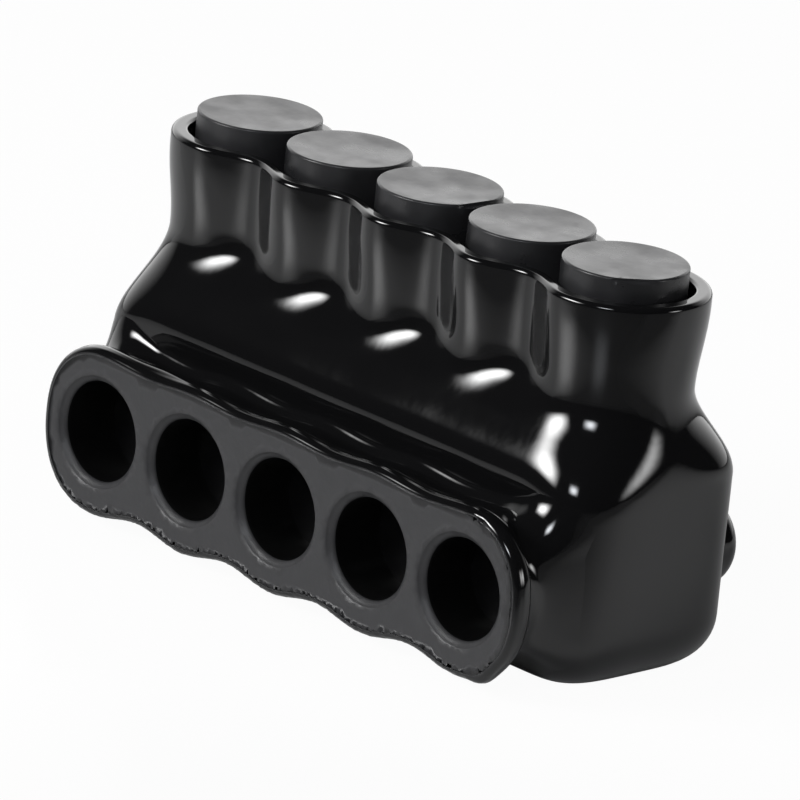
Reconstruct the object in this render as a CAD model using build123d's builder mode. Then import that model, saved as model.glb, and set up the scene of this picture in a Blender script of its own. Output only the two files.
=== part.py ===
"""Insulated multi-tap connector, one row of conductor ports with a set screw above each, in millimetres.

An aluminium bar is bored through for the conductors and tapped from above for the set screws.
One dip-moulded shell hugs the bar: its body, the scalloped screw tower, the front boot with its
rolled lip and the blind ends behind the bores are a single skin. A push-in plug closes each well.
The origin is in the middle of the flat base, +X runs along the row, +Z points up, and the
conductors enter from the front, -Y.
"""

import os
from math import atan, cos, degrees, pi, radians, sin, sqrt

from build123d import *

# Row of ports
port_count = 5
port_pitch = 28.0

# Aluminium bar, with the port axes above its underside
bar_end_margin = 15.0
bar_depth = 41.0
bar_height = 44.0
bar_edge = 1.2
port_rise = 18.0
bore_radius = 9.5
bore_lead_in = 0.8

# Set screws
screw_radius = 9.0
screw_length = 15.0
screw_edge = 0.9
thread_clearance = 0.06
screw_sink = 0.4
hex_across_flats = 8.0
hex_depth = 7.0
cup_radius = 5.0
cup_depth = 1.2

# Body of the shell, outside the bar
base_skin = 3.5
end_skin = 5.1
side_skin = 4.6
base_round = 11.4
base_sole = 0.35
corner_power = 3.95

# Screw tower, measured up from the top of the bar
waist_rise = 14.2
tower_rise = 35.4
shoulder_drop = 19.2
scallop_drop = 6.5
scallop_run = 18.5
waist_radius = 17.0
waist_trough = 13.2
rim_radius = 18.6
rim_trough = 14.3
rim_band = 3.0
rim_round = 0.9
recess_depth = 5.0
recess_play = 1.5
recess_trough = 11.0

# Access plugs
plug_radius = 13.44
plug_clearance = 0.06
plug_stand = 4.5
plug_length = 15.6
plug_wall = 2.6
plug_crown = 5.0
plug_edge = 0.4
plug_dish = 0.3
seat_step = 1.3

# Front boot and its rolled lip, measured from the port axes
lip_front = 39.15
lip_width = 5.8
lip_face_round = 0.9
lip_back_round = 2.6
lip_end_radius = 17.1
lip_top_crest = 18.2
lip_top_trough = 17.4
lip_foot_crest = 18.6
lip_foot_trough = 16.5
lip_power = 2.25
neck_inset = 2.9
neck_fillet = 3.0
mouth_radius = 10.9
funnel_radius = 12.4
funnel_depth = 2.5

# Blind ends behind the bores
blind_radius = 10.0
blind_reach = 9.5
blind_round = 4.5
blind_skin = 2.4
blind_fillet = 3.0

# How broad the crests of the scallops are: below 1 they are broader than the troughs
crest_power = 0.9

# Stations of the outlines, for each pitch along the row and for the half-turn at each end
stations_per_pitch = 6
end_stations = 10

# Heights of the outlines, as shares of the base round, the shoulder and the tower's flare
base_steps = (0.0, 0.18, 0.43, 0.75, 1.2)
shoulder_steps = (1.3, 1.0, 0.8, 0.6, 0.4, 0.2, 0.0)
tower_steps = (0.35, 0.7, 1.0)

row_half = (port_count - 1) * port_pitch / 2
port_x = [i * port_pitch - row_half for i in range(port_count)]
bar_half_length = row_half + bar_end_margin
bar_top = base_skin + bar_height
port_height = base_skin + port_rise
body_half_length = bar_half_length + end_skin
body_half_depth = bar_depth / 2 + side_skin
waist_height = bar_top + waist_rise
rim_height = bar_top + tower_rise
band_height = rim_height - rim_band
plug_top = rim_height + plug_stand
plug_seat = plug_top - plug_length
screw_top = bar_top - screw_sink


def wave(x):
    """Scallop of the row: 1 over a port and 0 half-way between two, with broad crests."""
    return (0.5 + 0.5 * cos(2 * pi * (x - port_x[0]) / port_pitch)) ** crest_power


def smooth(t):
    """Eases from 0 to 1 with level ends."""
    t = min(max(t, 0.0), 1.0)
    return t * t * (3 - 2 * t)


def rounded(angle, across, tall, power):
    """Reach of a rounded corner about its centre: a superellipse of two half-sizes."""
    c, s = abs(cos(radians(angle))), abs(sin(radians(angle)))
    return ((c / across) ** power + (s / tall) ** power) ** (-1 / power)


def closed_outline(side, reach):
    """Points once round the row: side(x, sign) off the long axis, reach(angle) about the end ports."""
    steps = (port_count - 1) * stations_per_pitch
    along = [row_half - i * port_pitch / stations_per_pitch for i in range(steps + 1)]
    turn = [90 - 180 * i / end_stations for i in range(1, end_stations)]
    end = [(row_half + reach(a) * cos(radians(a)), reach(a) * sin(radians(a))) for a in turn]
    points = [(x, side(x, 1)) for x in along]
    points += [(-x, y) for x, y in end]
    points += [(x, -side(x, -1)) for x in reversed(along)]
    points += reversed(end)
    return points


def body_outline(height):
    """Outline of body and tower at a height: a rounded bar below, scallops that deepen above."""
    depth_in_round = max(base_round - max(height, base_sole), 0.0)
    inset = base_round - sqrt(base_round**2 - depth_in_round**2)
    across = body_half_length - row_half - inset
    deep = body_half_depth - inset
    rise = smooth((height - waist_height + shoulder_drop) / shoulder_drop)
    flare = smooth((height - waist_height) / (band_height - waist_height))
    radius = waist_radius + (rim_radius - waist_radius) * flare
    trough = waist_trough + (rim_trough - waist_trough) * flare
    scallop = (radius - trough) * smooth((height - waist_height + scallop_drop) / scallop_run)

    def side(x, sign):
        return deep + (radius - deep) * rise - scallop * (1 - wave(x))

    def reach(angle):
        low = rounded(angle, across, deep, corner_power)
        return low + (radius - low) * rise

    return closed_outline(side, reach)


def lip_outline(inset):
    """Outline of the front boot about the port axes, drawn in by an inset."""

    def side(x, sign):
        crest, trough = (lip_top_crest, lip_top_trough) if sign > 0 else (lip_foot_crest, lip_foot_trough)
        return trough + (crest - trough) * wave(x) - inset

    def reach(angle):
        tall = lip_top_crest if angle > 0 else lip_foot_crest
        return rounded(angle, lip_end_radius - inset, tall - inset, lip_power)

    return closed_outline(side, reach)


def recess_outline():
    """Outline of the hollow inside the tower's rim."""
    lobe = plug_radius + recess_play
    return closed_outline(lambda x, sign: recess_trough + (lobe - recess_trough) * wave(x), lambda angle: lobe)


# Plain bar, the form that the shell is moulded round
with BuildPart() as bar_blank:
    with BuildSketch(Plane.XY.offset(base_skin)):
        Rectangle(2 * bar_half_length, bar_depth)
    extrude(amount=bar_height)
    chamfer(bar_blank.edges(), bar_edge)

# Conductor bar: cross bores from the front, tapped holes from above
with BuildPart() as conductor_bar:
    add(bar_blank.part)
    with BuildSketch(Plane.XZ.offset(bar_depth / 2)):
        with Locations(*[(x, port_height) for x in port_x]):
            Circle(bore_radius)
    extrude(amount=-bar_depth, mode=Mode.SUBTRACT)
    chamfer(conductor_bar.edges().filter_by(GeomType.CIRCLE).group_by(Axis.Y)[0], bore_lead_in)
    with BuildSketch(Plane.XY.offset(bar_top)):
        with Locations(*[(x, 0) for x in port_x]):
            Circle(screw_radius + thread_clearance)
    extrude(amount=port_height - bar_top, mode=Mode.SUBTRACT)
conductor_bar.part.label = "conductor_bar"

# Front boot: a lip rolled round the mouth, and the neck that carries it out of the body
boot_plane = Plane(origin=(0, 0, port_height), x_dir=(1, 0, 0), z_dir=(0, -1, 0))
with BuildPart() as boot:
    with BuildSketch(boot_plane.offset(lip_front - lip_width)):
        with BuildLine():
            Spline(*lip_outline(0), periodic=True)
        make_face()
    extrude(amount=lip_width)
    fillet(boot.faces().sort_by(Axis.Y)[0].edges(), lip_face_round)
    fillet(boot.faces().sort_by(Axis.Y)[-1].edges(), lip_back_round)
    with BuildSketch(boot_plane.offset(bar_depth / 2)):
        with BuildLine():
            Spline(*lip_outline(neck_inset), periodic=True)
        make_face()
    extrude(amount=lip_front - lip_width / 2 - bar_depth / 2)

# Blind ends behind the bar: the round-cornered cup that closes a bore, and the hollow in it
blind_ends = []
for skin in (0, blind_skin):
    with BuildPart() as blind_end:
        with BuildSketch() as blind_profile:
            with Locations((0, bar_depth / 2)):
                Rectangle(
                    blind_radius - skin,
                    body_half_depth + blind_reach - skin - bar_depth / 2,
                    align=(Align.MIN, Align.MIN),
                )
            fillet(blind_profile.vertices().group_by(Axis.Y)[-1].sort_by(Axis.X)[-1], blind_round - skin)
        revolve(axis=Axis.Y)
    blind_ends.append(blind_end.part)

# Shell: the outside in one loft, then everything that is hollow in it
base_stations = [base_round * t for t in base_steps]
shoulder_stations = [waist_height - shoulder_drop * t for t in shoulder_steps]
tower_stations = [waist_height + (band_height - waist_height) * t for t in tower_steps]
funnel_angle = 2 * degrees(atan((funnel_radius - mouth_radius) / funnel_depth))
with BuildPart() as insulation_shell:
    for height in base_stations + shoulder_stations + tower_stations:
        with BuildSketch(Plane.XY.offset(height)):
            with BuildLine():
                Spline(*body_outline(height), periodic=True)
            make_face()
    loft()
    extrude(insulation_shell.faces().sort_by(Axis.Z)[-1], amount=rim_band)
    fillet(insulation_shell.faces().sort_by(Axis.Z)[-1].edges(), rim_round)
    # Boot and blind ends, each with the soft hollow where the vinyl pooled round its root
    add(boot.part)
    fillet(insulation_shell.edges(Select.NEW), neck_fillet)
    with Locations(*[(x, 0, port_height) for x in port_x]):
        add(blind_ends[0])
    fillet(insulation_shell.edges(Select.NEW), blind_fillet)
    # The bar's own space, exactly its form
    add(bar_blank.part, mode=Mode.SUBTRACT)
    # Recess inside the rim, then a well and its narrower screw shaft under each plug
    with BuildSketch(Plane.XY.offset(rim_height)):
        with BuildLine():
            Spline(*recess_outline(), periodic=True)
        make_face()
    extrude(amount=-recess_depth, mode=Mode.SUBTRACT)
    with BuildSketch(Plane.XY.offset(plug_seat)):
        with Locations(*[(x, 0) for x in port_x]):
            Circle(plug_radius + plug_clearance)
    extrude(amount=rim_height - plug_seat, mode=Mode.SUBTRACT)
    with BuildSketch(Plane.XY.offset(bar_top)):
        with Locations(*[(x, 0) for x in port_x]):
            Circle(plug_radius - seat_step)
    extrude(amount=plug_seat - bar_top, mode=Mode.SUBTRACT)
    # Funnel-mouthed ports through the boot
    with Locations(*[Plane(origin=(x, -lip_front, port_height), z_dir=(0, -1, 0)) for x in port_x]):
        CounterSinkHole(mouth_radius, funnel_radius, lip_front - bar_depth / 2, funnel_angle)
    with Locations(*[(x, 0, port_height) for x in port_x]):
        add(blind_ends[1], mode=Mode.SUBTRACT)
insulation_shell.part.label = "insulation_shell"

# Set screw, at the middle port: hex socket above, cup point below
with BuildPart() as set_screw:
    with BuildSketch(Plane.XY.offset(screw_top - screw_length)):
        Circle(screw_radius)
    extrude(amount=screw_length)
    chamfer(set_screw.edges(), screw_edge)
    with BuildSketch(Plane.XY.offset(screw_top)):
        RegularPolygon(hex_across_flats / 2, 6, major_radius=False)
    extrude(amount=-hex_depth, mode=Mode.SUBTRACT)
    with BuildSketch(Plane.XZ):
        with BuildLine():
            foot = screw_top - screw_length
            Polyline((0, foot), (cup_radius, foot), (0, foot + cup_depth), close=True)
        make_face()
    revolve(axis=Axis.Z, mode=Mode.SUBTRACT)

# Access plug, at the middle port: a solid crown over an open skirt
with BuildPart() as access_plug:
    with BuildSketch(Plane.XZ) as plug_profile:
        with BuildLine():
            TangentArc((0, plug_top - plug_dish), (plug_radius, plug_top), tangent=(1, 0))
            Polyline(
                (plug_radius, plug_top),
                (plug_radius, plug_seat),
                (plug_radius - plug_wall, plug_seat),
                (plug_radius - plug_wall, plug_top - plug_crown),
                (0, plug_top - plug_crown),
                (0, plug_top - plug_dish),
            )
        make_face()
        fillet(plug_profile.vertices().group_by(Axis.X)[-1], plug_edge)
    revolve(axis=Axis.Z)

os.makedirs("parts", exist_ok=True)
export_step(insulation_shell.part, "parts/insulation_shell.step")
export_step(conductor_bar.part, "parts/conductor_bar.step")
for number, x in enumerate(port_x, 1):
    for name, pattern in (("set_screw", set_screw), ("access_plug", access_plug)):
        with BuildPart() as placed:
            with Locations((x, 0, 0)):
                add(pattern.part)
        placed.part.label = f"{name}_{number}"
        export_step(placed.part, f"parts/{name}_{number}.step")
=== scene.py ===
# %% [markdown]
# A connector for heavy cables, dipped in black vinyl
#
# The object is an aluminium bar with five cable ports, and above each port a set screw at the
# bottom of a well. The bar was dipped in liquid vinyl, so one glossy skin flows over the body,
# the scalloped tower round the wells and the boot with its rolled lip. Matte plugs close the wells.
# The solids are loaded first and stay where they are. Only their looks are made here.

from math import cos, pi, radians, sin

import bpy
import bmesh
import numpy as np
from mathutils import Matrix, Vector
from mathutils.geometry import delaunay_2d_cdt


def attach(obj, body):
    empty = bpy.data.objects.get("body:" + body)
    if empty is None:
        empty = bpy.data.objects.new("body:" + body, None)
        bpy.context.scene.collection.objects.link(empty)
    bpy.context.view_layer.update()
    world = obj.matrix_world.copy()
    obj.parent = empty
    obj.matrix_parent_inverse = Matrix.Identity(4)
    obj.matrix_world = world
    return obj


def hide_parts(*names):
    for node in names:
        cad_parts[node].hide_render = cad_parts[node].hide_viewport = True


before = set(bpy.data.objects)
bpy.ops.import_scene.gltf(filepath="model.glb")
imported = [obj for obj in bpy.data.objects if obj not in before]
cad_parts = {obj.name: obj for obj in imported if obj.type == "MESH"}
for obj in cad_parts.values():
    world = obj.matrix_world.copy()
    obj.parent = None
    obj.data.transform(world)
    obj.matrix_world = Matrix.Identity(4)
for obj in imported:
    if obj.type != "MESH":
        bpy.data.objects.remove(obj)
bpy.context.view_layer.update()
print("nodes:", ", ".join(sorted(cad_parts)))

# %% [markdown]
# The sizes below are the solids' own, in millimetres: x along the row of ports, z up, and the
# cables come in from -y. They are repeated here because every surface of the skin is worked out
# from them, and each mesh is turned into metres only at the end. Three forms are drawn a little
# fuller or deeper than in the solids: the feet of the scallops, the front corners and the hollow
# where the boot leaves the body.

# %% Sizes, in millimetres
mm = 0.001
pitch = 28.0
port_x = np.array([-56.0, -28.0, 0.0, 28.0, 56.0])
row_half = 56.0
port_height = 21.5
bar_top = 47.5
bar_front = 20.5

body_end = 20.1
body_deep = 25.1
base_round, base_share = 11.4, 0.88
corner_power = 3.95
waist_height = 61.7
shoulder_drop, corner_drop = 19.2, 3.5
scallop_drop, scallop_run, crest_power = 8.5, 12.5, 1.0
waist_radius, waist_trough = 17.0, 13.7
rim_radius, rim_trough = 18.6, 14.3
rim_height, band_height = 82.9, 79.9
recess_floor, recess_lobe, recess_trough = 77.9, 14.94, 11.0
well_radius, well_seat, shaft_radius = 13.5, 71.8, 12.14

lip_front, lip_width = 39.15, 5.8
lip_end = 17.1
lip_top_crest, lip_top_trough = 18.2, 17.4
lip_foot_crest, lip_foot_trough = 18.6, 16.5
lip_power, neck_inset, neck_fillet = 2.25, 2.9, 3.0
end_flow, corner_flow = 2.5, 11.0
mouth_radius, funnel_radius, funnel_depth = 10.9, 12.4, 2.5
sunk = 0.2  # how far the walls of the wells and mouths run into the bar

plug_radius, plug_top, plug_seat, plug_wall, plug_crown = 13.44, 87.4, 71.8, 2.6, 5.0
screw_radius, screw_top, screw_length = 9.0, 47.1, 15.0
print("row of", len(port_x), "ports,", pitch, "mm apart")

# %% [markdown]
# A surface here is a grid of points: one way round the row, the other way up the profile. The
# grid becomes a mesh in one step, with no loop over its points. Where grids meet they share their
# edge points, which are merged, so the skin has no open seam.

# %% Grids into meshes
merge_distance, shortest_edge = 2e-6, 1e-7


def grid_faces(rows, columns):
    """Quads of a grid whose rows close: each joins a point, its neighbour in the row and the two above."""
    r, c = np.meshgrid(np.arange(rows - 1), np.arange(columns), indexing="ij")
    right = (c + 1) % columns
    low, high = r * columns, (r + 1) * columns
    return np.stack([low + c, low + right, high + right, high + c], -1).reshape(-1, 4)


def turned(profile, x, count):
    """A profile of (radius, height) carried once round an upright axis at x."""
    a = np.linspace(0, 2 * pi, count, endpoint=False)
    profile = np.asarray(profile, float)
    r, z = profile[:, :1], profile[:, 1:]
    return np.stack([x + r * np.cos(a), r * np.sin(a), np.broadcast_to(z, (len(profile), count))], -1)


def bored(profile, x, count):
    """A profile of (radius, depth) turned round the port's axis at x; depth counts towards the cables."""
    upright_grid = turned(profile, x, count)
    return np.stack([upright_grid[..., 0], -upright_grid[..., 2], port_height + upright_grid[..., 1]], -1)


def mesh_piece(name, patches, material, body, matte=None, crease=None):
    """Joins patches of (points in mm, faces) into one smooth, merged piece and sets it on its body."""
    points, faces, start = [], [], 0
    for p, f in patches:
        p = np.asarray(p, float).reshape(-1, 3)
        points.append(p)
        faces += (np.asarray(f) + start).tolist()
        start += len(p)
    points = np.concatenate(points) * mm
    mesh = bpy.data.meshes.new(name)
    mesh.from_pydata(points.tolist(), [], faces)
    if matte is not None:
        layer = mesh.attributes.new("matte", "FLOAT", "POINT")
        layer.data.foreach_set("value", np.concatenate(matte).astype(np.float32))
    work = bmesh.new()
    work.from_mesh(mesh)
    bmesh.ops.remove_doubles(work, verts=work.verts, dist=merge_distance)
    bmesh.ops.dissolve_degenerate(work, edges=work.edges, dist=shortest_edge)
    work.to_mesh(mesh)
    work.free()
    mesh.shade_smooth()
    if crease:
        mesh.set_sharp_from_angle(angle=radians(crease))
    mesh.materials.append(material)
    piece = bpy.data.objects.new(name, mesh)
    bpy.context.scene.collection.objects.link(piece)
    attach(piece, body)
    print(name, len(mesh.vertices), "points,", len(mesh.polygons), "faces")
    return piece


def smooth(t):
    """Eases from 0 to 1 with level ends: t squared times (3 - 2 t)."""
    t = np.clip(t, 0.0, 1.0)
    return t * t * (3 - 2 * t)


# %% [markdown]
# Every outline of the skin is a reach from the middle of the row: straight out to each side, and
# round a half-turn at each end. One set of stations serves them all, so a point of one outline
# has its partner on the next.

# %% Stations round the row
side_steps, end_steps = 160, 64
along = np.linspace(row_half, -row_half, side_steps, endpoint=False)
turn = np.linspace(0, pi, end_steps, endpoint=False)
station_x = np.concatenate([along, np.full(end_steps, -row_half), -along, np.full(end_steps, row_half)])
dir_x = np.concatenate([np.zeros(side_steps), -np.sin(turn), np.zeros(side_steps), np.sin(turn)])
dir_y = np.concatenate([np.ones(side_steps), np.cos(turn), -np.ones(side_steps), -np.cos(turn)])


def wave(x, soft=0.02):
    """Scallop of the row: 1 over a port and 0 half-way between two, with broad crests and a soft trough."""
    low, high = soft**crest_power, (1 + soft) ** crest_power
    return ((0.5 + 0.5 * np.cos(2 * pi * (x - port_x[0]) / pitch) + soft) ** crest_power - low) / (high - low)


station_wave = wave(station_x)


def rounded(across, tall, power):
    """Reach of a superellipse of two half-sizes at every station."""
    return ((np.abs(dir_x) / across) ** power + (np.abs(dir_y) / tall) ** power) ** (-1 / power)


def ring(reach, height):
    """The outline with that reach, lying flat at a height."""
    return np.stack([station_x + dir_x * reach, dir_y * reach, np.broadcast_to(height, reach.shape)], -1)


print(len(station_x), "stations")

# %% [markdown]
# Dipped vinyl is never quite even: it swells and sinks by a few hundredths of a millimetre over a
# few centimetres, and that is what bends the reflections. A sum of long sine waves in scattered
# directions does this. The same push is given to every grid, so that their seams stay shut, and it
# fades out in the wells, in the mouths and at the base.

# %% Hand-dipped unevenness
long_wave, long_height = 30, 0.035
short_wave, short_height = 11, 0.008


def swell(p, size, seed, waves=7):
    """Sum of sine waves of about that wavelength in scattered directions, between about -1 and 1."""
    rng = np.random.default_rng(seed)
    heading = rng.normal(size=(waves, 3))
    strength = (2 * pi / size) * rng.uniform(0.7, 1.3, (waves, 1))
    heading *= strength / np.linalg.norm(heading, axis=1, keepdims=True)
    return np.sin(p @ heading.T + rng.uniform(0, 2 * pi, waves)).sum(-1) / waves**0.5 / 1.2


def bump(p, centre, size):
    """A soft round hill: 1 at its centre, falling as a bell curve with a size for each axis."""
    return np.exp(-((((p - np.array(centre)) / np.array(size)) ** 2).sum(-1)))


def dipped(p):
    """Moves points of the skin as the dipping did: waves, less in the wells, the mouths and at the base."""
    p = np.array(p, float)
    nearest = p[..., 0] - port_x[np.argmin(np.abs(p[..., 0:1] - port_x), -1)]
    from_well = np.hypot(nearest, p[..., 1])
    from_bore = np.hypot(nearest, p[..., 2] - port_height)
    by_well = np.where(p[..., 2] > bar_top - 1.5, smooth((from_well - well_radius - 0.1) / 3), 1.0)
    by_mouth = np.where(p[..., 1] < -bar_front - 0.1, smooth((from_bore - funnel_radius - 0.2) / 2), 1.0)
    calm = by_well * by_mouth * smooth(p[..., 2] / 6)
    push = [
        long_height * swell(p, long_wave, s) + short_height * swell(p, short_wave, s + 7)
        for s in (1, 2, 3)
    ]
    return p + np.stack(push, -1) * calm[..., None]


# %% [markdown]
# The body and its tower are one sheet. Low down the outline is a rounded bar, it eases over the
# shoulder into five scallops, flares a little and turns over at the rim. The sheet goes on down
# into the recess, where five round wells open in the floor.

# %% Body and tower
def base_inset(height):
    """How far a quarter-circle at the base draws the skin in: R - sqrt(R^2 - (R - height)^2)."""
    return base_round - np.sqrt(base_round**2 - np.clip(base_round - height, 0, base_round) ** 2)


def skin_reach(dx, dy, height, scallop=0.0):
    """Reach of the skin at a height: a superellipse, drawn in over the shoulder, less a scallop."""
    inset = base_share * base_inset(height)
    end, deep = body_end - inset, body_deep - inset
    low = ((np.abs(dx) / end) ** corner_power + (np.abs(dy) / deep) ** corner_power) ** (-1 / corner_power)
    front_corner = np.where(dy < 0, (2 * np.abs(dx * dy)) ** 2, 0.0)
    drop = shoulder_drop + corner_drop * front_corner
    rise = smooth((height - waist_height + drop) / drop)
    flare = smooth((height - waist_height) / (band_height - waist_height))
    radius = waist_radius + (rim_radius - waist_radius) * flare
    trough = waist_trough + (rim_trough - waist_trough) * flare
    depth = (radius - trough) * smooth((height - waist_height + scallop_drop) / scallop_run)
    return low + (radius - low) * rise - depth * scallop


def body_reach(height):
    """Reach of the body and tower at every station, at each of some heights."""
    return skin_reach(dir_x, dir_y, np.asarray(height, float)[..., None], 1 - station_wave)


rim_turn, inner_turn = 1.15, 0.8
recess = recess_trough + (recess_lobe - recess_trough) * station_wave
outer = body_reach(band_height)
base_angles = np.linspace(0, pi / 2, 14)
heights = np.concatenate([
    base_round * (1 - np.cos(base_angles)),
    np.linspace(base_round, waist_height - shoulder_drop, 20)[1:],
    np.linspace(waist_height - shoulder_drop, waist_height, 36)[1:],
    np.linspace(waist_height, rim_height - rim_turn, 26)[1:],
])
skin = ring(body_reach(heights), heights[:, None])
base_rings = [ring(body_reach(0.0) * share, 0.0) for share in (0.0, 0.3, 0.6, 0.9)]
over = np.linspace(0, pi / 2, 9)[1:]
rim_rings = [ring(outer - rim_turn * (1 - cos(a)), rim_height - rim_turn * (1 - sin(a))) for a in over]
flat = np.linspace(0, 1, 6)[1:]
top_outer, top_inner = outer - rim_turn, recess + inner_turn
rim_rings += [ring(top_outer + (top_inner - top_outer) * t, rim_height) for t in flat]
rim_rings += [ring(recess + inner_turn * (1 - sin(a)), rim_height - inner_turn * (1 - cos(a))) for a in over]
rim_rings += [ring(recess, z) for z in np.linspace(rim_height - inner_turn, recess_floor, 7)[1:]]
body_grid = np.concatenate([np.stack(base_rings), skin, np.stack(rim_rings)])
print("body grid", body_grid.shape)


# %% [markdown]
# A flat face with round holes in it is filled with triangles between its outline, the holes and a
# scatter of points inside. It serves the floor of the recess and the face of the lip.

# %% Faces with holes
def pierced_face(outline, holes, spacing, inside):
    """Triangles that fill a flat outline around round holes, given as (x, y, radius, number of points)."""
    circles = []
    for x, y, radius, count in holes:
        a = np.linspace(0, 2 * pi, count, endpoint=False)
        circles.append(np.stack([x + radius * np.cos(a), y + radius * np.sin(a)], -1))
    lo, hi = outline.min(0), outline.max(0)
    gx, gy = np.meshgrid(np.arange(lo[0], hi[0], spacing), np.arange(lo[1], hi[1], spacing))
    fill = np.stack([gx.ravel(), gy.ravel()], -1)
    fill = fill[inside(fill, 0.6 * spacing)]
    for x, y, radius, _ in holes:
        fill = fill[np.hypot(fill[:, 0] - x, fill[:, 1] - y) > radius + 0.6 * spacing]
    loops = [outline] + circles
    edges, start = [], 0
    for loop in loops:
        n = len(loop)
        edges += [(start + i, start + (i + 1) % n) for i in range(n)]
        start += n
    flat_points = np.concatenate(loops + [fill])
    found = delaunay_2d_cdt([Vector(p) for p in flat_points], edges, [], 1, 1e-5)
    points = np.array([tuple(v) for v in found[0]])
    faces = np.array(found[2])
    middle = points[faces].mean(1)
    keep = np.ones(len(faces), bool)
    for x, y, radius, count in holes:
        keep &= np.hypot(middle[:, 0] - x, middle[:, 1] - y) > radius * cos(pi / count) - 0.02
    return points, faces[keep]


def reach_at(p, top_crest, top_trough, foot_crest, foot_trough, end, power):
    """Distance inside a row outline, by its own formula, at any flat point."""
    x = np.clip(p[:, 0], -row_half, row_half)
    dx, dy = p[:, 0] - x, p[:, 1]
    far = np.maximum(np.hypot(dx, dy), 1e-9)
    crest = np.where(dy > 0, top_crest, foot_crest)
    trough = np.where(dy > 0, top_trough, foot_trough)
    shape = ((np.abs(dx) / far / end) ** power + (np.abs(dy) / far / crest) ** power) ** (-1 / power)
    return shape * (trough + (crest - trough) * wave(x)) / crest - far


well_count = 96
floor_outline = body_grid[-1][:, :2]
recess_sizes = (recess_lobe, recess_trough, recess_lobe, recess_trough, recess_lobe)
floor_points, floor_faces = pierced_face(
    floor_outline,
    [(x, 0.0, well_radius, well_count) for x in port_x],
    1.5,
    lambda p, gap: reach_at(p, *recess_sizes, 2.0) > gap,
)
recess_patch = (np.column_stack([floor_points, np.full(len(floor_points), recess_floor)]), floor_faces)
well_profile = [(well_radius, z) for z in (recess_floor, 75.0, well_seat)]
well_profile += [(shaft_radius, z) for z in (well_seat, 60.0, bar_top - sunk)]
well_faces = grid_faces(len(well_profile), well_count)[:, ::-1]
well_patches = [(turned(well_profile, x, well_count), well_faces) for x in port_x]
print("recess floor", len(floor_faces), "triangles")

# %% [markdown]
# The boot leaves the front of the body as a neck and ends in a lip, rolled back on itself like the
# top of a sock. Where the neck meets the body the vinyl pooled into a soft hollow, wider towards
# the corners. A fillet tool would stop at such a wavy join, so each line of the hollow is a cubic
# curve that leaves along the neck and lands along the body's own surface.

# %% Boot and lip
def lip_reach(inset):
    """Reach of the lip about the port axes, drawn in by an inset."""
    crest = np.where(dir_y > 0, lip_top_crest, lip_foot_crest)
    trough = np.where(dir_y > 0, lip_top_trough, lip_foot_trough)
    shape = rounded(lip_end - inset, crest - inset, lip_power)
    return shape * (trough - inset + (crest - trough) * station_wave) / (crest - inset)


def upright(reach, depth):
    """The outline stood up in front of the body, at a depth towards the cables."""
    forward = -np.broadcast_to(depth, reach.shape)
    return np.stack([station_x + dir_x * reach, forward, port_height + dir_y * reach], -1)


def body_front(x, z):
    """How far forward the skin stands at each x and z: walks a quarter-turn of its outline to that x."""
    sweep = np.linspace(0, pi / 2, 241)
    reach = skin_reach(np.sin(sweep), -np.cos(sweep), np.asarray(z, float)[:, None])
    across, forward = np.sin(sweep) * reach, np.cos(sweep) * reach
    past = np.clip(np.abs(x) - row_half, 0, across[:, -1] * 0.999)
    at = np.clip((across <= past[:, None]).sum(1) - 1, 0, len(sweep) - 2)
    rows = np.arange(len(past))
    share = (past - across[rows, at]) / (across[rows, at + 1] - across[rows, at])
    return forward[rows, at] + share * (forward[rows, at + 1] - forward[rows, at])


def skin_point(reach):
    """The point of the body's front skin that stands behind a reach of the boot's outline."""
    point = upright(reach, 0.0)
    point[:, 1] = -body_front(point[:, 0], point[:, 2])
    return point


root_room, root_handle, root_tuck, slope_step = 0.975, 0.55, 0.03, 0.05


def neck_root(reach, lines=18):
    """Rings of the hollow at the boot's root: Bezier cubics with handles along the neck and the skin."""
    out = reach + neck_fillet + end_flow * np.abs(dir_x) + corner_flow * np.abs(dir_x * dir_y)
    for _ in range(6):
        room = body_end - base_inset(port_height + dir_y * out)
        out = np.minimum(out, root_room * room / np.maximum(np.abs(dir_x), 0.01))
    out = sum(np.roll(out, k) for k in range(-4, 5)) / 9
    corner, end = skin_point(reach), skin_point(out)
    landing = end - skin_point(out - slope_step)
    landing /= np.linalg.norm(landing, axis=1, keepdims=True)
    start = corner.copy()
    start[:, 1] = np.maximum(corner[:, 1] - (out - reach), -(lip_front - lip_width - 0.35))
    first = start + root_handle * (corner - start)
    land = root_handle * np.linalg.norm(end - corner, axis=1, keepdims=True) * landing
    end = end + root_tuck * np.stack([-dir_x, np.ones_like(dir_x), -dir_y], -1)
    second = end - land
    return [
        (1 - t) ** 3 * start + 3 * (1 - t) ** 2 * t * first + 3 * (1 - t) * t * t * second + t**3 * end
        for t in np.linspace(0, 1, lines)
    ]


face_turn, back_turn, side_bulge = 1.6, 2.7, 0.12
lip_back = lip_front - lip_width
boot_rings = [
    upright(lip_reach(face_turn * (1 - sin(a))), lip_front - face_turn * (1 - cos(a)))
    for a in np.linspace(0, pi / 2, 8)
]
side_depths = np.linspace(lip_front - face_turn, lip_back + back_turn, 7)[1:]
boot_rings += [upright(lip_reach(-side_bulge * sin(pi * i / 7)), d) for i, d in enumerate(side_depths, 1)]
boot_rings += [
    upright(lip_reach(back_turn * (1 - cos(a))), lip_back + back_turn * (1 - sin(a)))
    for a in np.linspace(0, pi / 2, 10)[1:]
]
neck = lip_reach(neck_inset)
boot_rings += [upright(neck, lip_back - 0.3)]
boot_rings += neck_root(neck)
boot_grid = np.stack(boot_rings)


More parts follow.
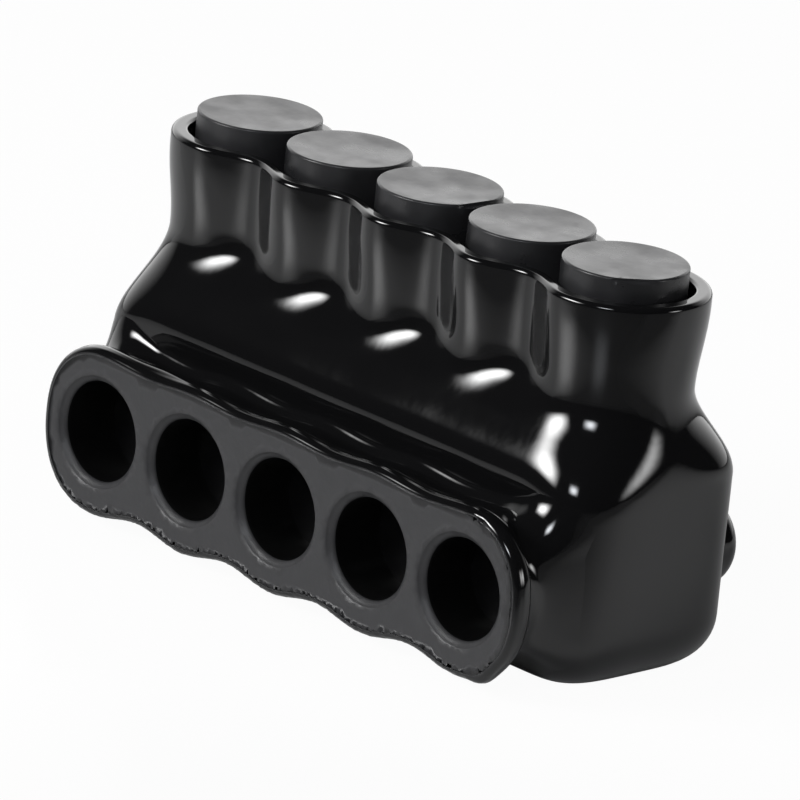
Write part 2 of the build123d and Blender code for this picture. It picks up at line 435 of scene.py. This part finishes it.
def handled(p):
    """Adds the hand work's marks: a drip, a thick spot on the lip's back, a nick and a ragged lower edge."""
    drip = bump(p, (64.2, -37.6, 4.2), (3.4, 4.0, 3.2))[..., None] * np.array([0.45, 0.0, -0.95])
    thick = bump(p, (-41.0, -34.6, 39.8), (7.5, 2.6, 3.0))[..., None] * np.array([0.0, 0.3, 0.9])
    nick = bump(p, (60.4, -38.9, 36.4), (1.0, 1.6, 1.6))[..., None] * np.array([-0.3, 0.75, -0.9])
    ridge = bump(p, (58.6, -38.8, 37.2), (1.1, 1.6, 1.4))[..., None] * np.array([0.1, -0.15, 0.55])
    rng = np.random.default_rng(5)
    lower_edge = smooth((-lip_front + 1.3 - p[..., 1]) / 0.5) * smooth((14.0 - p[..., 2]) / 4)
    ragged = rng.uniform(-1, 1, p.shape[:-1]) * lower_edge
    return p + drip + thick + nick + ridge + ragged[..., None] * np.array([0.0, 0.06, 0.08])


boot_grid = handled(boot_grid)

mouth_count = 96
face_outline = (boot_grid[0][:, [0, 2]] - np.array([0.0, port_height])).round(4)
boot_grid[0][:, 1] = -lip_front
boot_grid[0][:, [0, 2]] = face_outline + np.array([0.0, port_height])
lip_sizes = (lip_top_crest, lip_top_trough, lip_foot_crest, lip_foot_trough, lip_end)
face_sizes = [size - face_turn for size in lip_sizes]
face_points, face_faces = pierced_face(
    face_outline,
    [(x, 0.0, funnel_radius, mouth_count) for x in port_x],
    1.6,
    lambda p, gap: reach_at(p, *face_sizes, lip_power) > gap,
)
face_level = np.full(len(face_points), -lip_front)
face_patch = (np.column_stack([face_points[:, 0], face_level, face_points[:, 1] + port_height]), face_faces)
mouth_edge = [(funnel_radius, 0.0), (funnel_radius - 0.2, 0.3), (funnel_radius - 0.75, 0.75)]
mouth_edge += [(mouth_radius + 0.2, 1.2), (mouth_radius, 1.6)]
mouth_profile = [(r, lip_front - d) for r, d in mouth_edge]
mouth_profile += [(mouth_radius, d) for d in np.linspace(lip_front - funnel_depth - 0.3, bar_front - sunk, 9)]
mouth_faces = grid_faces(len(mouth_profile), mouth_count)
mouth_patches = [(bored(mouth_profile, x, mouth_count), mouth_faces) for x in port_x]
print("boot grid", boot_grid.shape, "face", len(face_faces), "triangles")

# %% [markdown]
# Behind the body each bore ends in a blind cup of vinyl, where the dipping mandrel stood out. Its
# profile is turned about the bore's axis: a flat end, a round edge, and a quarter-circle fillet
# that lands on the body's back.

# %% Blind ends
blind_radius, blind_reach, blind_round, blind_fillet = 10.0, 9.5, 4.5, 3.0
blind_count = 72
blind_tip = -body_deep - blind_reach
blind_profile = [(share * (blind_radius - blind_round), blind_tip) for share in (0.0, 0.5, 1.0)]
for a in np.linspace(0, pi / 2, 12)[1:]:
    blind_profile.append((blind_radius - blind_round * (1 - sin(a)), blind_tip + blind_round * (1 - cos(a))))
for a in np.linspace(0, pi / 2, 12):
    lift = blind_fillet * (1 - sin(a)) - 0.03 * (1 - cos(a))
    blind_profile.append((blind_radius + blind_fillet * (1 - cos(a)), -body_deep - lift))
blind_faces = grid_faces(len(blind_profile), blind_count)
blind_patches = [(bored(blind_profile, x, blind_count), blind_faces) for x in port_x]
print(len(blind_patches), "blind ends")

# %% [markdown]
# Black vinyl looks plain but isn't one value: the dipped skin is glossy with a faint orange peel,
# while the lip's face, cut off after the dip, is matte and a little torn. The helpers below build
# each material from a few kinds of node, always on the piece's own coordinates.

# %% Material helpers
def shader(name, colour, roughness, **sockets):
    """A principled material with constants on its own sockets; returns it with its tree and shader."""
    material = bpy.data.materials.new(name)
    material.use_nodes = True
    tree = material.node_tree
    surface = tree.nodes["Principled BSDF"]
    surface.inputs["Base Color"].default_value = (*colour, 1)
    surface.inputs["Roughness"].default_value = roughness
    for key, value in sockets.items():
        surface.inputs[key.replace("_", " ")].default_value = value
    return material, tree, surface


def feed(tree, socket, value):
    """Links a socket to another's output, or sets it to a constant."""
    if isinstance(value, bpy.types.NodeSocket):
        tree.links.new(value, socket)
    else:
        socket.default_value = value


def node(tree, kind, **values):
    """A node with its settings and its sockets' values by name; a value can be another node's output."""
    made = tree.nodes.new(kind)
    for key, value in values.items():
        if key in made.bl_rna.properties:
            setattr(made, key, value)
        else:
            feed(tree, made.inputs[key.replace("_", " ")], value)
    return made


def noise(tree, place, scale, detail=3.0, roughness=0.5):
    """Noise at a place; scale is in bumps per metre."""
    made = node(tree, "ShaderNodeTexNoise", Scale=scale, Detail=detail, Roughness=roughness, Vector=place)
    return made.outputs["Fac"]


def spread(tree, source, low, high, out_low=0.0, out_high=1.0):
    """Maps a band of a value on to a new range."""
    made = node(tree, "ShaderNodeMapRange", From_Min=low, From_Max=high, To_Min=out_low, To_Max=out_high)
    feed(tree, made.inputs["Value"], source)
    return made.outputs["Result"]


def combined(tree, operation, *values):
    """A math node on values that are each an output or a number."""
    made = node(tree, "ShaderNodeMath", operation=operation)
    for socket, value in zip(made.inputs, values):
        feed(tree, socket, value)
    return made.outputs[0]


def along_line(tree, place, direction):
    """How far a place lies along a direction: their dot product."""
    made = node(tree, "ShaderNodeVectorMath", operation="DOT_PRODUCT")
    feed(tree, made.inputs[0], place)
    feed(tree, made.inputs[1], direction)
    return made.outputs["Value"]


def length(tree, place):
    """How far a place lies from the origin."""
    made = node(tree, "ShaderNodeVectorMath", operation="LENGTH")
    feed(tree, made.inputs[0], place)
    return made.outputs["Value"]


def blend(tree, share, first, second):
    """Mixes two values, or two colours of four numbers, by a share."""
    colours = isinstance(first, tuple)
    made = node(tree, "ShaderNodeMix", data_type="RGBA" if colours else "FLOAT")
    start = 6 if colours else 2
    feed(tree, made.inputs[0], share)
    feed(tree, made.inputs[start], first)
    feed(tree, made.inputs[start + 1], second)
    return made.outputs[2 if colours else 0]


def bumps(tree, surface, *layers):
    """Stacks bump layers of (height, depth in metres) on the shader's normal."""
    last = None
    for height, depth in layers:
        made = node(tree, "ShaderNodeBump", Distance=depth, Strength=1.0, Height=height)
        if last is not None:
            feed(tree, made.inputs["Normal"], last.outputs["Normal"])
        last = made
    feed(tree, surface.inputs["Normal"], last.outputs["Normal"])


# %% [markdown]
# A "matte" value kept on the points tells the vinyl where it was cut: there it is rougher, a little
# greyer and grained. Deep in the mouths the wall gets a darker black that mirrors little: painted shade, so
# the mouths read as dark holes.

# %% Dipped vinyl
vinyl, tree, surface = shader("dipped_vinyl", (0.005, 0.005, 0.005), 0.1, Specular_IOR_Level=0.56)
place = node(tree, "ShaderNodeTexCoord").outputs["Object"]
matte = node(tree, "ShaderNodeAttribute", attribute_name="matte").outputs["Fac"]
haze = noise(tree, place, 45, 4.0, 0.6)
smear = noise(tree, place, 260, 3.0, 0.55)
peel = noise(tree, place, 700, 2.0)
gloss = spread(tree, haze, 0.35, 0.7, 0.055, 0.075)
cut = spread(tree, smear, 0.3, 0.7, 0.4, 0.52)
torn = combined(tree, "MULTIPLY", smear, matte)
feed(tree, surface.inputs["Roughness"], blend(tree, matte, gloss, cut))
gloss_black, matte_black = (0.0045, 0.0045, 0.0048, 1), (0.027, 0.027, 0.029, 1)
feed(tree, surface.inputs["Base Color"], blend(tree, matte, gloss_black, matte_black))
bumps(tree, surface, (haze, 0.00006), (peel, 0.0000015), (torn, 0.0002))

# painted shade: a darker black that barely mirrors, for the deep walls of the mouths
shade_sleeve, tree, surface = shader("painted_shade_sleeve", (0.003, 0.003, 0.003), 0.6, Specular_IOR_Level=0.12)
place = node(tree, "ShaderNodeTexCoord").outputs["Object"]
sleeve_blotch = noise(tree, place, 120, 3.0)
feed(tree, surface.inputs["Roughness"], spread(tree, sleeve_blotch, 0.3, 0.7, 0.4, 0.7))
bumps(tree, surface, (sleeve_blotch, 0.0002))
print("materials:", vinyl.name, shade_sleeve.name)

# %% [markdown]
# The plugs are moulded in a duller black. Their tops are a little cloudy from handling.

# %% Plug plastic
plug_plastic, tree, surface = shader("moulded_plug", (0.02, 0.02, 0.021), 0.34, Specular_IOR_Level=0.5)
place = node(tree, "ShaderNodeTexCoord").outputs["Object"]
cloud = noise(tree, place, 90, 4.0, 0.55)
grain = noise(tree, place, 2600, 2.0)
worn = spread(tree, cloud, 0.3, 0.75)
dark_patch, pale_patch = (0.014, 0.014, 0.015, 1), (0.026, 0.026, 0.028, 1)
feed(tree, surface.inputs["Base Color"], blend(tree, worn, dark_patch, pale_patch))
feed(tree, surface.inputs["Roughness"], spread(tree, cloud, 0.35, 0.65, 0.25, 0.4))
bumps(tree, surface, (cloud, 0.00008), (grain, 0.00001))
print("material:", plug_plastic.name)

# %% [markdown]
# The bar is plated and satin. Its bores are painted near-black, matte and not metallic, as painted
# shade that makes them look black from outside. A distance from the nearest bore's own axis, worked
# out from the piece's coordinates, tells the material where this painted shade lies. The screws are bright.

# %% Metals
# painted shade: inside these radii the bores turn near-black, matte and not metallic
bore_shade_inner, bore_shade_outer = 10.6, 11.2
plated, tree, surface = shader("tin_plated_bar", (0.55, 0.55, 0.54), 0.38, Metallic=1.0)
place = node(tree, "ShaderNodeTexCoord").outputs["Object"]
axes = node(tree, "ShaderNodeSeparateXYZ", Vector=place)
across = combined(tree, "WRAP", axes.outputs["X"], pitch * mm / 2, -pitch * mm / 2)
above = combined(tree, "SUBTRACT", axes.outputs["Z"], port_height * mm)
off_axis = node(tree, "ShaderNodeCombineXYZ", X=across, Y=above).outputs[0]
bore_shade = spread(tree, length(tree, off_axis), bore_shade_inner * mm, bore_shade_outer * mm, 1.0, 0.0)
stain = noise(tree, place, 150, 4.0, 0.6)
satin = spread(tree, stain, 0.3, 0.7, 0.3, 0.46)
# painted shade in the bores: near-black base colour, no metal, high roughness
feed(tree, surface.inputs["Base Color"], blend(tree, bore_shade, (0.55, 0.55, 0.54, 1), (0.006, 0.006, 0.006, 1)))
feed(tree, surface.inputs["Metallic"], combined(tree, "SUBTRACT", 1.0, bore_shade))
feed(tree, surface.inputs["Roughness"], blend(tree, bore_shade, satin, 0.8))
bumps(tree, surface, (noise(tree, place, 1500, 2.0), 0.00003))

machined, tree, surface = shader("machined_screw", (0.68, 0.68, 0.69), 0.3, Metallic=1.0)
place = node(tree, "ShaderNodeTexCoord").outputs["Object"]
wear = noise(tree, place, 320, 4.0, 0.6)
feed(tree, surface.inputs["Roughness"], spread(tree, wear, 0.3, 0.7, 0.24, 0.38))
bumps(tree, surface, (wear, 0.00004))
print("materials:", plated.name, machined.name)

# %% [markdown]
# The skin is made in three pieces that meet out of sight. All of it is polished except the lip's
# face and the funnels of the mouths, which are matte, and the mouths' deep walls, which get the
# painted-shade sleeve material. Together they stand in for the one solid of the skin.

# %% Skin pieces
body_matte = [np.zeros(body_grid.shape[:2]).ravel(), np.zeros(len(floor_points))]
body_matte += [np.zeros(well_count * len(well_profile))] * len(port_x)
body_patches = [(dipped(body_grid), grid_faces(len(body_grid), len(station_x)))]
body_patches += [(dipped(recess_patch[0]), recess_patch[1])] + well_patches
body_piece = mesh_piece("body_and_tower", body_patches, vinyl, "connector", body_matte)
boot_matte = np.zeros(boot_grid.shape[:2])
boot_matte[0], boot_matte[1] = 1.0, 0.3
mouth_matte = np.array([1.0 if d > lip_front - 1.7 else 0.5 for _, d in mouth_profile]).repeat(mouth_count)
boot_piece = mesh_piece(
    "cable_boot",
    [(dipped(boot_grid), grid_faces(len(boot_grid), len(station_x))), (dipped(face_patch[0]), face_patch[1])]
    + mouth_patches,
    vinyl, "connector",
    [boot_matte.ravel(), np.ones(len(face_points))] + [mouth_matte] * len(port_x),
)
# the mouths' deep walls get the painted-shade sleeve
boot_piece.data.materials.append(shade_sleeve)
for face in boot_piece.data.polygons:
    x, y, z = face.center * 1000
    if y > -(lip_front - 1.5) and np.hypot(np.abs(x - port_x).min(), z - port_height) < mouth_radius + 0.1:
        face.material_index = 1
blind_piece = mesh_piece(
    "blind_ends", [(dipped(p), f) for p, f in blind_patches], vinyl, "connector",
    [np.zeros(p.shape[:2]).ravel() for p, _ in blind_patches],
)
for piece in (body_piece, boot_piece, blind_piece):
    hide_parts("insulation_shell")

# %% [markdown]
# A plug is turned from its profile: a dished crown with a soft edge over an open skirt. Two of them
# have a short flat on the edge, where the moulding was trimmed.

# %% Access plugs
plug_count, plug_edge, dish_depth, dish_radius = 144, 0.5, 0.3, 12.9
trims, trim_depth = {3: (-5, 24), 5: (-36, 22)}, 0.8


def trimmed(grid, x, middle, half, depth):
    """Cuts a chord off the edge: within depth of the top no point lies beyond the line across the arc."""
    a = np.arctan2(grid[..., 1], grid[..., 0] - x)
    turned_by = (a - radians(middle) + pi) % (2 * pi) - pi
    reach = plug_radius * cos(radians(half)) / np.cos(np.clip(turned_by, -radians(half), radians(half)))
    share = np.minimum(1.0, reach / np.maximum(np.hypot(grid[..., 0] - x, grid[..., 1]), 1e-6))
    share = np.where((grid[..., 2] > plug_top - depth) & (np.abs(turned_by) < radians(half)), share, 1.0)
    return np.stack([x + (grid[..., 0] - x) * share, grid[..., 1] * share, grid[..., 2]], -1)


crown = [
    (r, plug_top - dish_depth + dish_depth * (r / dish_radius) ** 2)
    for r in np.linspace(0, dish_radius, 10)
]
edge = [
    (plug_radius - plug_edge * (1 - sin(a)), plug_top - plug_edge * (1 - cos(a)))
    for a in np.linspace(0, pi / 2, 7)
]
side = [(plug_radius, z) for z in np.linspace(plug_top - 0.9, plug_seat + 0.4, 9)]
inner, ceiling = plug_radius - plug_wall, plug_top - plug_crown
skirt = [(plug_radius - 0.4, plug_seat), (inner + 0.3, plug_seat), (inner, plug_seat + 0.3)]
skirt += [(inner, ceiling - 0.5), (inner - 0.5, ceiling), (0.0, ceiling)]
plug_profile = crown + edge + side + skirt
plug_faces = grid_faces(len(plug_profile), plug_count)[:, ::-1]
for number, x in enumerate(port_x, 1):
    grid = turned(plug_profile, x, plug_count)
    if number in trims:
        grid = trimmed(grid, x, *trims[number], trim_depth)
    piece = mesh_piece(
        f"plug_{number}", [(grid, plug_faces)], plug_plastic, f"plug_{number}", crease=50
    )
    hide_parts(f"access_plug_{number}")

# %% [markdown]
# A set screw has a rolled thread, a hex socket and a cup point. A thread could be a helix swept by
# its section, but a grid is simpler: the radius falls and rises with the height plus the turn, so
# the crest winds down the shank by itself. It shows once a plug is pulled.

# %% Set screws
thread_pitch, thread_depth, screw_edge = 1.5, 0.7, 0.9
screw_count, thread_lines = 96, 121
socket_half, socket_depth = 4.0, 7.0
turn_angles = np.linspace(0, 2 * pi, screw_count, endpoint=False)
hexagon = socket_half / np.cos(turn_angles % (pi / 3) - pi / 6)
plain = np.ones(screw_count)
foot = screw_top - screw_length
flat_end = (screw_radius - screw_edge) * plain
socket_foot = screw_top - socket_depth
screw_rings = [(0.0 * plain, socket_foot - 0.6), (0.6 * hexagon, socket_foot - 0.15)]
screw_rings += [(hexagon, screw_top - depth) for depth in (socket_depth, socket_depth / 2, 0.35)]
screw_rings += [(hexagon + 0.35, screw_top), (0.5 * (hexagon + flat_end), screw_top), (flat_end, screw_top)]
for z in np.linspace(screw_top, foot, thread_lines)[1:-1]:
    phase = ((z / thread_pitch - turn_angles / (2 * pi)) % 1.0) * 2 - 1
    thread = screw_radius - thread_depth * np.clip(1.15 * (1 - np.abs(phase)) - 0.1, 0, 1)
    end = screw_radius - screw_edge + min(screw_top - z, z - foot)
    screw_rings.append((np.minimum(thread, end), z))
screw_rings += [(flat_end, foot), (5.0 * plain, foot), (2.5 * plain, foot + 0.6), (0.0 * plain, foot + 1.2)]
screw_faces = grid_faces(len(screw_rings), screw_count)[:, ::-1]
for number, x in enumerate(port_x, 1):
    rings = [
        np.stack([x + r * np.cos(turn_angles), r * np.sin(turn_angles), z * plain], -1)
        for r, z in screw_rings
    ]
    piece = mesh_piece(
        f"threaded_screw_{number}", [(np.array(rings), screw_faces)],
        machined, f"screw_{number}", crease=35,
    )
    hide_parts(f"set_screw_{number}")

# %% [markdown]
# The bar is nearly all hidden, so its solid is shown as it is, with the plated material.

# %% Bar
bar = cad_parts["conductor_bar"]
bar.data.materials.clear()
bar.data.materials.append(plated)
print(bar.name, "in", plated.name)

# %% [markdown]
# The studio is a white table, a white wall behind, and three soft boxes that fade towards their
# edges. A black gloss object is seen almost wholly by what it mirrors, so the places of these
# matter more than their power: the left box makes the bright patch on each shoulder, the front box
# the one at the corner, and the table makes the grey walls of the tower and of the end. The table
# itself is white to the camera. For everything else its colour darkens towards the camera and far
# off, as painted shade, so that the corner facing the camera stays dark and the mirrored horizon is soft.

# %% Studio
table_half, seen_white, soft_edge = 3.0, 0.96, 0.48
towards_camera, away_from_camera = (0.71, -0.71, 0.0), (-0.71, 0.71, 0.0)
scene = bpy.context.scene
scene.view_settings.view_transform = "Standard"

table_finish, tree, surface = shader("table", (0.9, 0.9, 0.9), 0.24, Specular_IOR_Level=0.6)
place = node(tree, "ShaderNodeTexCoord").outputs["Object"]
axes = node(tree, "ShaderNodeSeparateXYZ", Vector=place)
# painted shade: the table's colour darkens towards the camera and far off, as seen in mirrors and lit
near_side_shade = spread(tree, along_line(tree, place, towards_camera), 0.085, 0.17, 0.9, 0.2)
far_off_shade = spread(tree, length(tree, place), 0.3, 1.8, 1.0, 0.15)
feed(tree, surface.inputs["Roughness"], spread(tree, axes.outputs["Y"], -0.09, -0.05, 0.22, 0.8))
feed(tree, surface.inputs["Base Color"], combined(tree, "MULTIPLY", near_side_shade, far_off_shade))
by_camera = node(tree, "ShaderNodeLightPath").outputs["Is Camera Ray"]
white = node(tree, "ShaderNodeEmission", Strength=1.0)
mix = node(tree, "ShaderNodeMixShader", Fac=combined(tree, "MULTIPLY", by_camera, seen_white))
feed(tree, mix.inputs[1], surface.outputs[0])
feed(tree, mix.inputs[2], white.outputs[0])
feed(tree, tree.nodes["Material Output"].inputs["Surface"], mix.outputs[0])
table_mesh = bpy.data.meshes.new("table")
corners = [(x * table_half, y * table_half, 0) for x, y in ((-1, -1), (1, -1), (1, 1), (-1, 1))]
table_mesh.from_pydata(corners, [], [(0, 1, 2, 3)])
table_mesh.materials.append(table_finish)
table = bpy.data.objects.new("table", table_mesh)
scene.collection.objects.link(table)


def soft_box(name, azimuth, elevation, width, height, brightness, colour=(1, 1, 1), distance=3.5):
    """A lamp facing the object, fading to its edges; azimuth 0 is +x, and sizes are angles in degrees."""
    lamp = bpy.data.lights.new(name, "AREA")
    lamp.shape = "RECTANGLE"
    lamp.size, lamp.size_y = radians(width) * distance, radians(height) * distance
    lamp.energy = brightness * pi * lamp.size * lamp.size_y
    lamp.color = colour
    lamp.use_nodes = True
    tree = lamp.node_tree
    spot_on_lamp = node(tree, "ShaderNodeNewGeometry").outputs["Parametric"]
    axes = node(tree, "ShaderNodeSeparateXYZ", Vector=spot_on_lamp)
    share = 1.0
    for axis in ("X", "Y"):
        for edge, inside in ((0.0, soft_edge), (1.0, 1 - soft_edge)):
            ramp = node(
                tree, "ShaderNodeMapRange", interpolation_type="SMOOTHSTEP",
                From_Min=edge, From_Max=inside,
            )
            feed(tree, ramp.inputs["Value"], axes.outputs[axis])
            share = combined(tree, "MULTIPLY", share, ramp.outputs["Result"])
    feed(tree, tree.nodes["Emission"].inputs["Strength"], share)
    made = bpy.data.objects.new(name, lamp)
    a, e = radians(azimuth), radians(elevation)
    towards = Vector((cos(a) * cos(e), sin(a) * cos(e), sin(e)))
    place = Matrix.Translation(Vector((0, 0, 0.05)) + towards * distance)
    made.matrix_world = place @ towards.to_track_quat("Z", "Y").to_matrix().to_4x4()
    scene.collection.objects.link(made)
    print(name, "at", azimuth, elevation)


soft_box("soft_box_left", -118, 30, 36, 24, 30)
soft_box("soft_box_front", -66, 32, 24, 15, 20, (0.92, 0.95, 1.0))
soft_box("soft_box_right", 27, 11, 22, 20, 9)

# %% [markdown]
# The room is white to the camera. In mirrors it is dark, so that black stays black, apart from the
# white wall behind the object, which lights its far edges. It also gives a soft even fill.

# %% Room
room_dark, wall_white, fill_strength = (0.02, 0.02, 0.021, 1), (1.85, 1.85, 1.85, 1), 0.3
world = bpy.data.worlds.new("studio")
scene.world = world
world.use_nodes = True
tree = world.node_tree
place = node(tree, "ShaderNodeTexCoord").outputs["Generated"]
axes = node(tree, "ShaderNodeSeparateXYZ", Vector=place)
behind = spread(tree, along_line(tree, place, away_from_camera), 0.35, 0.85)
low_down = spread(tree, axes.outputs["Z"], 0.45, 0.65, 1.0, 0.0)
wall = combined(tree, "MULTIPLY", behind, low_down)
mirrored = tree.nodes["Background"]
mirrored.inputs["Strength"].default_value = 1.0
feed(tree, mirrored.inputs["Color"], blend(tree, wall, room_dark, wall_white))
fill = node(tree, "ShaderNodeBackground", Color=(1, 1, 1, 1), Strength=fill_strength)
plain_white = node(tree, "ShaderNodeBackground", Color=(1, 1, 1, 1), Strength=1.0)
rays = node(tree, "ShaderNodeLightPath")
in_mirrors = node(tree, "ShaderNodeMixShader", Fac=rays.outputs["Is Glossy Ray"])
feed(tree, in_mirrors.inputs[1], fill.outputs[0])
feed(tree, in_mirrors.inputs[2], mirrored.outputs[0])
to_camera = node(tree, "ShaderNodeMixShader", Fac=rays.outputs["Is Camera Ray"])
feed(tree, to_camera.inputs[1], in_mirrors.outputs[0])
feed(tree, to_camera.inputs[2], plain_white.outputs[0])
feed(tree, tree.nodes["World Output"].inputs["Surface"], to_camera.outputs[0])
print("room:", world.name)

# %% [markdown]
# The camera stands about two and a half metres away with a long lens, as in a studio, a little
# above the object and turned to its right-hand front corner. It leans by a few degrees.

# %% Camera
azimuth, elevation, roll, distance = radians(44.938), radians(17.946), radians(5.82), 2.49042
focal_length, sensor_width = 530.06, 36
shift_left, shift_up = 0.0021483, 0.0173616
back = Vector((sin(azimuth) * cos(elevation), -cos(azimuth) * cos(elevation), sin(elevation)))
level = Vector((cos(azimuth), sin(azimuth), 0))
upward = back.cross(level)
right = level * cos(roll) + upward * sin(roll)
up = upward * cos(roll) - level * sin(roll)
camera = bpy.data.objects.new("camera", bpy.data.cameras.new("camera"))
camera.data.lens, camera.data.sensor_width = focal_length, sensor_width
camera.data.clip_end = 20
spot = Vector((0, 0, port_height * mm)) + back * distance - right * shift_left + up * shift_up
camera.matrix_world = Matrix.Translation(spot) @ Matrix((right, up, back)).transposed().to_4x4()
scene.collection.objects.link(camera)
scene.camera = camera
print("camera at", [round(v, 3) for v in spot])
